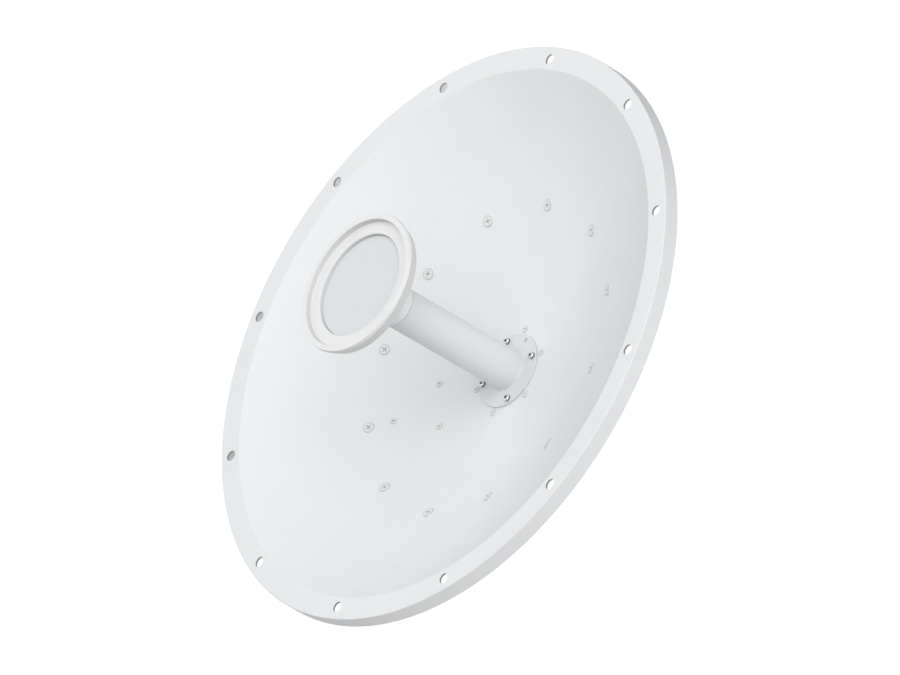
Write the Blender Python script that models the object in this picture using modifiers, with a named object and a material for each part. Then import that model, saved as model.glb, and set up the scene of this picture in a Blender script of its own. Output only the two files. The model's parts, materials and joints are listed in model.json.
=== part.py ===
"""Parabolic dish antenna with a waveguide feed on its axis and a bracket for a mast clamp.

Metres, +Z up. The dish looks along -Y. The origin is the middle of the bracket's flat rear
face. Every piece is modelled in the aperture frame, whose parent empty stands in the rim
plane: there x is to the right, y is up, and z is ahead of the rim, towards the sky.
"""

import math

import bmesh
import bpy
from mathutils import Matrix, Vector

# Reflector
RIM_OUTER_R = 0.324
BOWL_R = 0.299
FOCAL_LENGTH = 0.225
FLAT_R = 0.053
SHEET = 0.002
SKIRT_DEPTH = 0.018
RIM_BEND = 0.001
BOWL_BEND = 0.001
RIM_HOLE_R = 0.00575
RIM_HOLE_CIRCLE_R = 0.310
DISH_STEPS = 60

# Gap between pieces that touch, and play round a screw
GAP = 0.0003

# Reach of the cutters of the rim's, the clamp's and the flange's holes
CUT_LENGTH = 0.020

# Backing ring and its screws
RING_R = 0.1742
RING_HALF_WIDTH = 0.014
RING_SHEET = 0.003
RING_LIP = 0.010
RING_SCREWS = 12
RING_HEAD_R = 0.0062
RING_HEAD_H = 0.0012
RING_SHANK_R = 0.0030
NUT_R = 0.0058
NUT_H = 0.0050
THREAD_END = 0.0020
SCREW_SIDES = 10

# Small screws
SMALL_HEAD_R = 0.0038
SMALL_HEAD_H = 0.0012
SMALL_SHANK_R = 0.0020

# Feed tube and its flange
TUBE_R = 0.02225
TUBE_BORE_R = 0.0205
TUBE_HOLE_PLAY = 0.0005
TUBE_FRONT = 0.0669
TUBE_IN_HUB = 0.028
FLANGE_R = 0.0416
FLANGE_SHEET = 0.0025
FLANGE_BOLT_CIRCLE_R = 0.0358
FLANGE_BOLTS = 4
BOLT_HEAD_R = 0.0037
BOLT_HEAD_H = 0.0033
SIGHT_HOLE_R = 0.0025
SIGHT_HOLE_ANGLE = math.radians(43)

# Feed head: a stepped disc ahead of the tube, with a raised flat edge and a wall that tapers back
HEAD_R = 0.0784
HEAD_FRONT_R = 0.0780
HEAD_BACK_R = 0.0740
HEAD_BACK = 0.1132
HEAD_LIP_BACK = 0.1247
HEAD_FRONT = 0.1285
HEAD_EDGE = 0.0005
BEAD_INNER_R = 0.0720
BEAD_FOOT_R = 0.0713
STEP_R = 0.0578
STEP_FLOOR = 0.1224
COVER_FRONT = 0.1187
COVER_SHEET = 0.0012
NOSE_STRAIGHT_END = 0.0840
NOSE_FLARE_R = 0.0580
NOSE_EDGE = 0.002
NOSE_SPIGOT = 0.020

# Hub behind the reflector
HUB_FLANGE_R = 0.0525
HUB_FLANGE_SHEET = 0.004
HUB_BODY_R = 0.030
HUB_DEPTH = 0.034
HUB_END_WALL = 0.004
HUB_EDGE = 0.002
HUB_SCREW_CIRCLE_R = 0.0475
HUB_SCREWS = 6
SOCKET_BOSS_R = 0.009
SOCKET_SEAT_R = 0.035
SOCKET_ROOT_R = 0.026
SOCKET_FROM_BACK = 0.0125
SOCKET_ANGLES = {"left": math.radians(225), "right": math.radians(315)}

# Mount bracket: a tapered channel from the top to the bottom of the backing ring
MOUNT_BEHIND_RIM = 0.150
CHANNEL_HALF_WIDTH = 0.056
CHANNEL_SHEET = 0.003
CHANNEL_FLAT_HALF = 0.090
CHANNEL_END_Y = 0.1745
CHANNEL_END_Z = -0.0706
WALL_FRONT_EDGE = ((0.1745, -0.060), (0.150, -0.072), (0.140, -0.086), (0.100, -0.104), (0.060, -0.112))
CHANNEL_OPEN_Z = -0.040
FOOT_INWARD = 0.0110
FOOT_OUTWARD = 0.0070
FOOT_HALF_SPAN = 0.098
MAST_HOLE_OFFSET = 0.042
MAST_HOLE_R = 0.0045
CABLE_HOLE_R = 0.016
CABLE_HOLE_Y = 0.133
CABLE_CUT_LENGTH = 0.110

# Radio bracket: a pad on three screws and a rail that the radio slides into
PAD_SCREWS = {"top": (-0.094, 0.027), "bottom": (-0.094, -0.027), "outer": (-0.1476, 0.0)}
PAD_MARGIN = 0.0085
PAD_FRONT = -0.060
PAD_BACK = -0.104
PAD_SCREW_LENGTH = 0.0105
PAD_CUT_LENGTH = 0.0220
RAIL_X = -0.120
RAIL_HALF_WIDTH = 0.022
RAIL_HALF_LENGTH = 0.070
RAIL_DEPTH = 0.012
RAIL_SHEET = 0.002
RAIL_LIP = 0.008
RAIL_SCREW_X = -0.108
RAIL_SCREW_Y = 0.012
RAIL_SCREW_LENGTH = 0.0085
RAIL_CUT_LENGTH = 0.0145

# Stations of the bowl between its flat centre and its edge
BOWL_STATIONS = (0.053, 0.084, 0.120, 0.1602, 0.1882, 0.224, 0.260, 0.2975)

COLOURS = {
    "dish_white": ((0.80, 0.81, 0.81, 1.0), 0.42, 0.0),
    "feed_white": ((0.76, 0.77, 0.77, 1.0), 0.40, 0.0),
    "head_white": ((0.82, 0.83, 0.82, 1.0), 0.38, 0.0),
    "cover_grey": ((0.68, 0.69, 0.70, 1.0), 0.45, 0.0),
    "screw_white": ((0.66, 0.67, 0.67, 1.0), 0.35, 0.2),
    "bolt_steel": ((0.62, 0.62, 0.63, 1.0), 0.18, 1.0),
    "galvanised": ((0.56, 0.58, 0.59, 1.0), 0.45, 0.9),
    "cast_aluminium": ((0.60, 0.61, 0.62, 1.0), 0.50, 0.9),
    "nickel": ((0.70, 0.68, 0.64, 1.0), 0.22, 1.0),
    "grey_plastic": ((0.45, 0.46, 0.47, 1.0), 0.55, 0.0),
}

FRONT = Vector((0, 0, 1))


def bowl_z(r):
    """Height of the reflector's front face at radius r, from the rim plane."""
    r = max(r, FLAT_R)
    return (r * r - BOWL_R * BOWL_R) / (4 * FOCAL_LENGTH)


FLAT_Z = bowl_z(FLAT_R)
HUB_FRONT = FLAT_Z - SHEET - GAP
FOOT_FRONT = SHEET + GAP + RING_SHEET + GAP


def behind_bowl(r, distance):
    """The (radius, z) that lies straight behind the bowl's point at r, along its normal."""
    slope = 0 if r < FLAT_R else r / (2 * FOCAL_LENGTH)
    length = math.hypot(1, slope)
    return r + distance * slope / length, bowl_z(r) - distance / length


def bowl_curve(distance, low, high):
    """The stations from low to high of the surface that lies behind the bowl."""
    stations = [r for r in BOWL_STATIONS if low <= r <= high]
    return [behind_bowl(r, distance) for r in stations]


def on_bowl(x, y):
    """The point of the bowl's front facets at (x, y), and the unit normal there."""
    r = math.hypot(x, y)
    if r <= FLAT_R:
        return Vector((x, y, FLAT_Z)), FRONT.copy()
    step = 2 * math.pi / DISH_STEPS
    angle = math.atan2(y, x)
    on_edge = abs(angle / step - round(angle / step)) < 0.01
    facing = angle if on_edge else (math.floor(angle / step) + 0.5) * step
    flatness = 1 if on_edge else math.cos(step / 2)
    reach = r * math.cos(angle - facing) / flatness
    low = max(station for station in BOWL_STATIONS if station <= reach)
    high = min(station for station in BOWL_STATIONS if station > reach)
    slope = (bowl_z(high) - bowl_z(low)) / (high - low)
    z = bowl_z(low) + (reach - low) * slope
    tilt = slope / flatness
    return Vector((x, y, z)), Vector((-tilt * math.cos(facing), -tilt * math.sin(facing), 1)).normalized()


def around(radius, count, start=0.0):
    """Points spaced evenly on a circle round the axis."""
    angles = [start + 2 * math.pi * i / count for i in range(count)]
    return [(radius * math.cos(a), radius * math.sin(a)) for a in angles]


def material(name):
    """The Principled material of that name, made when it is first asked for."""
    found = bpy.data.materials.get(name)
    if found:
        return found
    colour, roughness, metallic = COLOURS[name]
    made = bpy.data.materials.new(name)
    made.use_nodes = True
    made.diffuse_color = colour
    shader = made.node_tree.nodes["Principled BSDF"]
    shader.inputs["Base Color"].default_value = colour
    shader.inputs["Roughness"].default_value = roughness
    shader.inputs["Metallic"].default_value = metallic
    return made


class Model:
    """The antenna's collection, the cutters' collection and the aperture frame."""

    def __init__(self):
        for old in list(bpy.data.objects):
            bpy.data.objects.remove(old)
        self.parts = bpy.data.collections.new("dish_antenna")
        self.cutters = bpy.data.collections.new("cutters")
        for collection in (self.parts, self.cutters):
            bpy.context.scene.collection.children.link(collection)
        self.frame = bpy.data.objects.new("aperture_frame", None)
        self.frame.location = (0, -MOUNT_BEHIND_RIM, 0)
        self.frame.rotation_euler = (math.pi / 2, 0, 0)
        self.parts.objects.link(self.frame)

    def add(self, obj, finish):
        """Makes obj a piece of the antenna."""
        self.parts.objects.link(obj)
        obj.parent = self.frame
        obj.data.materials.clear()
        obj.data.materials.append(material(finish))
        return obj

    def tool(self, obj):
        """Makes obj a cutter or a piece to join, which isn't part of the antenna."""
        self.cutters.objects.link(obj)
        obj.parent = self.frame
        obj.hide_render = True
        obj.display_type = "WIRE"
        return obj

    def baked(self, obj):
        """The evaluated mesh of obj, which is removed."""
        bpy.context.view_layer.update()
        evaluated = obj.evaluated_get(bpy.context.evaluated_depsgraph_get())
        mesh = bpy.data.meshes.new_from_object(evaluated)
        bpy.data.objects.remove(obj)
        return mesh


def turned(name, profile, steps, closed=False):
    """A profile of (radius, z) points, turned round the axis. Its outer side runs downwards."""
    mesh = bpy.data.meshes.new(name)
    edges = [(i, i + 1) for i in range(len(profile) - 1)]
    if closed:
        edges.append((len(profile) - 1, 0))
    mesh.from_pydata([(r, 0, z) for r, z in profile], edges, [])
    obj = bpy.data.objects.new(name, mesh)
    screw = obj.modifiers.new("turn", "SCREW")
    screw.axis = "Z"
    screw.angle = 2 * math.pi
    screw.steps = steps
    screw.render_steps = steps
    screw.use_merge_vertices = True
    screw.merge_threshold = 0.00001
    screw.use_smooth_shade = True
    return obj


def rods(name, places, radius, length, segments=16):
    """Straight rods, one at each (middle, direction), as one mesh."""
    shape = bmesh.new()
    half_side = Matrix.Rotation(math.pi / segments, 4, "Z")
    for middle, direction in places:
        turn = direction.to_track_quat("Z", "Y").to_matrix().to_4x4() @ half_side
        bmesh.ops.create_cone(
            shape,
            cap_ends=True,
            segments=segments,
            radius1=radius,
            radius2=radius,
            depth=length,
            matrix=Matrix.Translation(middle) @ turn,
        )
    mesh = bpy.data.meshes.new(name)
    shape.to_mesh(mesh)
    shape.free()
    return bpy.data.objects.new(name, mesh)


def block(name, low, high):
    """A box between two corners."""
    low, high = Vector(low), Vector(high)
    shape = bmesh.new()
    size = Matrix.Diagonal((*(high - low), 1))
    bmesh.ops.create_cube(shape, size=1, matrix=Matrix.Translation((low + high) / 2) @ size)
    mesh = bpy.data.meshes.new(name)
    shape.to_mesh(mesh)
    shape.free()
    return bpy.data.objects.new(name, mesh)


def extruded(model, name, outline, half_depth, turn=None, move=(0, 0, 0)):
    """A flat outline of (x, y) points, extruded both ways along z, then turned and moved."""
    curve = bpy.data.curves.new(name, "CURVE")
    curve.dimensions = "2D"
    curve.fill_mode = "BOTH"
    curve.extrude = half_depth
    spline = curve.splines.new("POLY")
    spline.points.add(len(outline) - 1)
    for point, (x, y) in zip(spline.points, outline):
        point.co = (x, y, 0, 1)
    spline.use_cyclic_u = True
    flat = bpy.data.objects.new(name, curve)
    model.cutters.objects.link(flat)
    mesh = model.baked(flat)
    bpy.data.curves.remove(curve)
    shape = bmesh.new()
    shape.from_mesh(mesh)
    bmesh.ops.remove_doubles(shape, verts=shape.verts, dist=0.00001)
    shape.transform(Matrix.Translation(move) @ (turn or Matrix.Identity(4)))
    bmesh.ops.recalc_face_normals(shape, faces=shape.faces)
    shape.to_mesh(mesh)
    shape.free()
    return bpy.data.objects.new(name, mesh)


def combine(obj, operation, tool):
    """A Boolean modifier on obj: DIFFERENCE, UNION or INTERSECT with tool."""
    boolean = obj.modifiers.new(tool.name, "BOOLEAN")
    boolean.operation = operation
    boolean.solver = "EXACT"
    boolean.object = tool
    return obj


def side_view():
    """Turns an outline of (y, z) points into the plane that holds the axis and the vertical."""
    return Matrix(((0, 0, 1, 0), (1, 0, 0, 0), (0, 1, 0, 0), (0, 0, 0, 1)))


def plan_view():
    """Turns an outline of (x, z) points into the plane that holds the axis and the level."""
    return Matrix(((1, 0, 0, 0), (0, 0, -1, 0), (0, 1, 0, 0), (0, 0, 0, 1)))


def dish_filler(model, name, distance):
    """Everything ahead of the surface that lies behind the bowl by distance, as a cutter."""
    wide, tall = 0.34, 0.02
    edge = behind_bowl(BOWL_STATIONS[-1], distance)
    profile = [(0, tall), (wide, tall), (wide, edge[1]), edge]
    profile += reversed(bowl_curve(distance, 0, BOWL_STATIONS[-2]))
    profile.append((0, FLAT_Z - distance))
    return model.tool(turned(name, profile, DISH_STEPS))


def screw_places(points):
    """Point and direction of the screws that stand square on the bowl at these points."""
    return [on_bowl(x, y) for x, y in points]


def screw_holes(model, name, points, shank_r):
    """A cutter for the holes of the screws at these points."""
    reach = 0.08
    return model.tool(rods(name, screw_places(points), shank_r + GAP, reach, 12))


def reflector(model, holes):
    """One pressed sheet: flat centre, bowl, flat rim with radome holes, and a skirt."""
    bore_r = TUBE_R + TUBE_HOLE_PLAY
    inner_r = RIM_OUTER_R - SHEET
    bend = RIM_BEND * 0.3
    last_back = behind_bowl(BOWL_R - BOWL_BEND / 2, SHEET)
    profile = [
        (BOWL_R + BOWL_BEND, 0),
        (RIM_OUTER_R - RIM_BEND, 0),
        (RIM_OUTER_R - bend, -bend),
        (RIM_OUTER_R, -RIM_BEND),
        (RIM_OUTER_R, -SKIRT_DEPTH),
        (inner_r, -SKIRT_DEPTH),
        (inner_r, -SHEET - RIM_BEND),
        (inner_r - RIM_BEND, -SHEET),
        (last_back[0], -SHEET),
    ]
    profile += reversed(bowl_curve(SHEET, 0, BOWL_STATIONS[-2]))
    profile += [(bore_r, FLAT_Z - SHEET), (bore_r, FLAT_Z)]
    profile += bowl_curve(0, 0, BOWL_R)
    dish = turned("reflector", profile, DISH_STEPS, closed=True)
    rim_places = [(Vector((x, y, 0)), FRONT) for x, y in around(RIM_HOLE_CIRCLE_R, 12)]
    rim_holes = model.tool(rods("rim_hole_cutter", rim_places, RIM_HOLE_R, CUT_LENGTH))
    for cutter in (rim_holes, *holes):
        combine(dish, "DIFFERENCE", cutter)
    return model.add(dish, "dish_white")


def backing_ring(model, holes):
    """Pressed ring behind the bowl, an L in section, which spreads the bracket's load."""
    low, high = RING_R - RING_HALF_WIDTH, RING_R + RING_HALF_WIDTH
    front, back = SHEET + GAP, SHEET + GAP + RING_SHEET
    outer = behind_bowl(high, front)
    lip_end = behind_bowl(high, back)[1] - RING_LIP
    lip_r = outer[0] - RING_SHEET
    profile = [outer, (outer[0], lip_end), (lip_r, lip_end), (lip_r, behind_bowl(lip_r, back)[1])]
    profile += [behind_bowl(low, back), behind_bowl(low, front)]
    ring = turned("backing_ring", profile, DISH_STEPS, closed=True)
    combine(ring, "DIFFERENCE", holes)
    return model.add(ring, "galvanised")


def channel_outline(inset):
    """Half of the bracket's rear edge in side view, lowered by inset, from middle to foot."""
    run = CHANNEL_END_Y - CHANNEL_FLAT_HALF
    rise = CHANNEL_END_Z + MOUNT_BEHIND_RIM
    slope = rise / run
    drop = inset * math.hypot(1, slope)
    knee = CHANNEL_FLAT_HALF + (inset - drop) / slope
    return [(knee, -MOUNT_BEHIND_RIM + inset), (CHANNEL_END_Y, CHANNEL_END_Z + drop)]


def mirrored(half):
    """A half outline in y, with its mirror image added so that it closes."""
    return half + [(-y, z) for y, z in reversed(half)]


def mast_holes():
    """The four bolt holes of the bracket's flat face."""
    return [(x * MAST_HOLE_OFFSET, y * MAST_HOLE_OFFSET) for x in (-1, 1) for y in (-1, 1)]


def mount_bracket(model):
    """Pressed channel with the flat face for the mast clamp, welded to the two feet."""
    outer = mirrored(channel_outline(0) + [*WALL_FRONT_EDGE])
    inner = mirrored(channel_outline(CHANNEL_SHEET) + [(CHANNEL_END_Y, CHANNEL_OPEN_Z)])
    bracket = extruded(model, "mount_bracket", outer, CHANNEL_HALF_WIDTH, side_view())
    inner_half_width = CHANNEL_HALF_WIDTH - CHANNEL_SHEET
    hollow = model.tool(extruded(model, "channel_hollow", inner, inner_half_width, side_view()))
    seat = dish_filler(model, "bracket_seat", FOOT_FRONT + CHANNEL_SHEET + GAP)
    mast = [(Vector((x, y, -MOUNT_BEHIND_RIM)), FRONT) for x, y in mast_holes()]
    cable = [(Vector((0, side * CABLE_HOLE_Y, -MOUNT_BEHIND_RIM)), FRONT) for side in (1, -1)]
    mast_cutter = model.tool(rods("mast_hole_cutter", mast, MAST_HOLE_R, CUT_LENGTH))
    cable_rods = rods("cable_hole_cutter", cable, CABLE_HOLE_R, CABLE_CUT_LENGTH, 32)
    cable_cutter = model.tool(cable_rods)
    for cutter in (hollow, seat, mast_cutter, cable_cutter):
        combine(bracket, "DIFFERENCE", cutter)
    return model.add(bracket, "galvanised")


def bracket_foot(model, name, side, ring_holes):
    """A stretch of curved band that lies on the backing ring, above or below the axis."""
    low, high = RING_R - FOOT_INWARD, RING_R + FOOT_OUTWARD
    back = FOOT_FRONT + CHANNEL_SHEET
    profile = [behind_bowl(high, FOOT_FRONT), behind_bowl(high, back)]
    profile += [behind_bowl(low, back), behind_bowl(low, FOOT_FRONT)]
    band = turned(name, profile, DISH_STEPS, closed=True)
    near, far = 0.05, 0.25
    rear, ahead = -0.2, 0.1
    reach = sorted((side * near, side * far))
    corners = (-FOOT_HALF_SPAN, reach[0], rear), (FOOT_HALF_SPAN, reach[1], ahead)
    span = block(name + "_span", *corners)
    combine(band, "INTERSECT", model.tool(span))
    combine(band, "DIFFERENCE", ring_holes)
    return model.add(band, "galvanised")


def feed_tube(model):
    """Round waveguide from the hub through the reflector to the nose."""
    rear = HUB_FRONT - TUBE_IN_HUB
    profile = [(TUBE_R, TUBE_FRONT), (TUBE_R, rear), (TUBE_BORE_R, rear), (TUBE_BORE_R, TUBE_FRONT)]
    return model.add(turned("feed_tube", profile, 48, closed=True), "feed_white")


def feed_flange(model, bolt_holes):
    """Thin round flange that seats the tube on the reflector."""
    back, front = FLAT_Z + GAP, FLAT_Z + GAP + FLANGE_SHEET
    bore_r = TUBE_R + GAP
    chamfer = 0.0004
    profile = [
        (bore_r, front),
        (FLANGE_R - chamfer, front),
        (FLANGE_R, front - chamfer),
        (FLANGE_R, back),
        (bore_r, back),
    ]
    flange = turned("feed_flange", profile, 48, closed=True)
    sight_r = FLANGE_BOLT_CIRCLE_R
    sight = Vector((sight_r * math.cos(SIGHT_HOLE_ANGLE), sight_r * math.sin(SIGHT_HOLE_ANGLE), front))
    sight_cutter = model.tool(rods("sight_hole_cutter", [(sight, FRONT)], SIGHT_HOLE_R, CUT_LENGTH, 12))
    combine(flange, "DIFFERENCE", bolt_holes)
    combine(flange, "DIFFERENCE", sight_cutter)
    return model.add(flange, "feed_white")


def feed_nose(model):
    """Moulded nose: a spigot in the tube, a straight collar and a flare behind the head."""
    spigot_r = TUBE_BORE_R - GAP
    seam = TUBE_FRONT + GAP
    front = HEAD_BACK - GAP
    rim = front - NOSE_EDGE
    bends = 4
    profile = [(0, front), (NOSE_FLARE_R, front), (NOSE_FLARE_R, rim)]
    for i in range(1, bends + 1):
        angle = math.pi / 2 * i / bends
        r = NOSE_FLARE_R - (NOSE_FLARE_R - TUBE_R) * math.sin(angle)
        profile.append((r, NOSE_STRAIGHT_END + (rim - NOSE_STRAIGHT_END) * math.cos(angle)))
    profile += [(TUBE_R, seam), (spigot_r, seam), (spigot_r, seam - NOSE_SPIGOT), (0, seam - NOSE_SPIGOT)]
    return model.add(turned("feed_nose", profile, 40), "head_white")


def feed_head(model):
    """Stepped disc with a raised flat edge, a steep lip and a wall that tapers to the back."""
    floor = COVER_FRONT - COVER_SHEET - GAP
    profile = [
        (0, floor),
        (STEP_R, floor),
        (STEP_R, STEP_FLOOR),
        (BEAD_FOOT_R, STEP_FLOOR),
        (BEAD_INNER_R, HEAD_FRONT),
        (HEAD_FRONT_R - HEAD_EDGE, HEAD_FRONT),
        (HEAD_FRONT_R, HEAD_FRONT - HEAD_EDGE),
        (HEAD_R, HEAD_LIP_BACK),
        (HEAD_BACK_R, HEAD_BACK),
        (0, HEAD_BACK),
    ]
    return model.add(turned("feed_head", profile, DISH_STEPS), "head_white")


def head_cover(model):
    """Plain round plate let into the head."""
    cover_r = STEP_R - GAP
    chamfer = 0.0003
    back = COVER_FRONT - COVER_SHEET
    profile = [(0, COVER_FRONT), (cover_r - chamfer, COVER_FRONT), (cover_r, COVER_FRONT - chamfer)]
    profile += [(cover_r, back), (0, back)]
    return model.add(turned("head_cover", profile, 48), "cover_grey")


def feed_hub(model, holes):
    """Cast cup behind the reflector that holds the tube's end and two sockets."""
    back = HUB_FRONT - HUB_DEPTH
    step = HUB_FRONT - HUB_FLANGE_SHEET
    bore_r = TUBE_R + GAP
    bore_end = back + HUB_END_WALL
    profile = [
        (0, bore_end),
        (bore_r, bore_end),
        (bore_r, HUB_FRONT),
        (HUB_FLANGE_R, HUB_FRONT),
        (HUB_FLANGE_R, step),
        (HUB_BODY_R, step),
        (HUB_BODY_R, back + HUB_EDGE),
        (HUB_BODY_R - HUB_EDGE, back),
        (0, back),
    ]
    hub = turned("feed_hub", profile, 40)
    length = SOCKET_SEAT_R - SOCKET_ROOT_R
    places = []
    for angle in SOCKET_ANGLES.values():
        outward = Vector((math.cos(angle), math.sin(angle), 0))
        places.append((outward * (SOCKET_ROOT_R + length / 2) + FRONT * socket_z(), outward))
    bosses = model.tool(rods("socket_bosses", places, SOCKET_BOSS_R, length, 20))
    combine(hub, "UNION", bosses)
    for cutter in holes:
        combine(hub, "DIFFERENCE", cutter)
    return model.add(hub, "cast_aluminium")


def socket_z():
    """Distance of the two sockets from the rim plane."""
    return HUB_FRONT - HUB_DEPTH + SOCKET_FROM_BACK


def cable_socket(model, side):
    """Coaxial socket on the hub under its screwed dust cap."""
    angle = SOCKET_ANGLES[side]
    profile = [
        (0, 0.0160),
        (0.0082, 0.0160),
        (0.0088, 0.0152),
        (0.0088, 0.0060),
        (0.0070, 0.0060),
        (0.0070, 0.0030),
        (0.0084, 0.0030),
        (0.0084, 0),
        (0, 0),
    ]
    socket = turned("cable_socket_" + side, profile, 16)
    outward = Vector((math.cos(angle), math.sin(angle), 0))
    socket.location = outward * (SOCKET_SEAT_R + GAP) + FRONT * socket_z()
    socket.rotation_mode = "QUATERNION"
    socket.rotation_quaternion = outward.to_track_quat("Z", "Y")
    return model.add(socket, "nickel")


def rounded_hull(centres, radius, arc_steps=6):
    """Outline round a triangle of circles, given anticlockwise."""
    outline = []
    count = len(centres)
    for i in range(count):
        before, here, after = centres[i - 1], centres[i], centres[(i + 1) % count]
        start = math.atan2(here[1] - before[1], here[0] - before[0]) - math.pi / 2
        end = math.atan2(after[1] - here[1], after[0] - here[0]) - math.pi / 2
        sweep = (end - start) % (2 * math.pi)
        for k in range(arc_steps + 1):
            angle = start + sweep * k / arc_steps
            outline.append((here[0] + radius * math.cos(angle), here[1] + radius * math.sin(angle)))
    return outline


def radio_pad(model, holes):
    """Moulded pad that carries the radio's rail, shaped to the back of the bowl."""
    corners = [PAD_SCREWS["top"], PAD_SCREWS["outer"], PAD_SCREWS["bottom"]]
    outline = rounded_hull(corners, PAD_MARGIN)
    middle = (PAD_FRONT + PAD_BACK) / 2
    half_depth = (PAD_FRONT - PAD_BACK) / 2
    pad = extruded(model, "radio_pad", outline, half_depth, move=(0, 0, middle))
    combine(pad, "DIFFERENCE", dish_filler(model, "pad_seat", SHEET + GAP))
    for cutter in holes:
        combine(pad, "DIFFERENCE", cutter)
    return model.add(pad, "grey_plastic")


def radio_rail(model, holes):
    """C-section rail, open to the rear, that a radio slides into from above."""
    front = PAD_BACK - GAP
    back = front - RAIL_DEPTH
    left, right = RAIL_X - RAIL_HALF_WIDTH, RAIL_X + RAIL_HALF_WIDTH
    lip = RAIL_LIP
    sheet = RAIL_SHEET
    outline = [
        (left, front),
        (left, back),
        (left + lip, back),
        (left + lip, back + sheet),
        (left + sheet, back + sheet),
        (left + sheet, front - sheet),
        (right - sheet, front - sheet),
        (right - sheet, back + sheet),
        (right - lip, back + sheet),
        (right - lip, back),
        (right, back),
        (right, front),
    ]
    rail = extruded(model, "radio_rail", outline, RAIL_HALF_LENGTH, plan_view())
    combine(rail, "DIFFERENCE", holes)
    return model.add(rail, "galvanised")


def screw_mesh(model, name, head_r, head_h, shank_r, length, nut_from=None):
    """A screw with a nearly flat head along z, its seat at z = 0, and its nut if it has one."""
    head = [(0, 1.0), (0.88, 0.92), (1.0, 0.50), (1.0, 0.0)]
    profile = [(head_r * r, GAP + head_h * z) for r, z in head]
    profile += [(shank_r, GAP), (shank_r, -length), (0, -length)]
    screw = turned(name, profile, SCREW_SIDES)
    model.tool(screw)
    if nut_from is not None:
        middle = Vector((0, 0, nut_from - NUT_H / 2))
        combine(screw, "UNION", model.tool(rods(name + "_nut", [(middle, FRONT)], NUT_R, NUT_H, 6)))
    return model.baked(screw)


def place_screws(model, names, points, mesh, finish):
    """One screw object at each point of the bowl, square to it, all with the same mesh."""
    for name, (point, normal) in zip(names, screw_places(points)):
        screw = bpy.data.objects.new(name, mesh)
        screw.location = point
        screw.rotation_mode = "QUATERNION"
        screw.rotation_quaternion = normal.to_track_quat("Z", "Y")
        model.add(screw, finish)


def ring_screws(model):
    """Twelve screws with nuts through the bowl and the ring; six also hold the bracket."""
    ring_back = -FOOT_FRONT
    foot_back = ring_back - CHANNEL_SHEET - GAP
    size = (RING_HEAD_R, RING_HEAD_H, RING_SHANK_R)
    meshes = {}
    for kind, seat in (("ring", ring_back), ("foot", foot_back)):
        end = -seat + NUT_H + THREAD_END
        meshes[kind] = screw_mesh(model, kind + "_screw", *size, end, seat)
    for i, point in enumerate(around(RING_R, RING_SCREWS)):
        kind = "foot" if abs(point[0]) < FOOT_HALF_SPAN else "ring"
        place_screws(model, [f"ring_screw_{i + 1:02d}"], [point], meshes[kind], "screw_white")


def small_screws(model):
    """Screws of the hub and the radio's pad and rail, and the bolts of the feed's flange."""
    small = (SMALL_HEAD_R, SMALL_HEAD_H, SMALL_SHANK_R)
    hub_length = SHEET + GAP + HUB_FLANGE_SHEET - 0.0005
    hub_mesh = screw_mesh(model, "hub_screw", *small, hub_length)
    names = [f"hub_screw_{i + 1}" for i in range(HUB_SCREWS)]
    place_screws(model, names, around(HUB_SCREW_CIRCLE_R, HUB_SCREWS), hub_mesh, "screw_white")
    pad_mesh = screw_mesh(model, "pad_screw", *small, PAD_SCREW_LENGTH)
    names = ["pad_screw_" + key for key in PAD_SCREWS]
    place_screws(model, names, PAD_SCREWS.values(), pad_mesh, "screw_white")
    bolt_length = FLANGE_SHEET + 2 * GAP + SHEET + HUB_FLANGE_SHEET - 0.0005
    bolt_mesh = screw_mesh(model, "flange_bolt", BOLT_HEAD_R, BOLT_HEAD_H, SMALL_SHANK_R, bolt_length)
    for i, (x, y) in enumerate(around(FLANGE_BOLT_CIRCLE_R, FLANGE_BOLTS)):
        bolt = bpy.data.objects.new(f"flange_bolt_{i + 1}", bolt_mesh)
        bolt.location = (x, y, FLAT_Z + GAP + FLANGE_SHEET)
        model.add(bolt, "bolt_steel")
    rail_mesh = screw_mesh(model, "rail_screw", *small, RAIL_SCREW_LENGTH)
    for side, name in ((1, "rail_screw_top"), (-1, "rail_screw_bottom")):
        screw = bpy.data.objects.new(name, rail_mesh)
        screw.location = (RAIL_SCREW_X, side * RAIL_SCREW_Y, PAD_BACK - GAP - RAIL_SHEET)
        screw.rotation_euler = (math.pi, 0, 0)
        model.add(screw, "bolt_steel")


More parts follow.
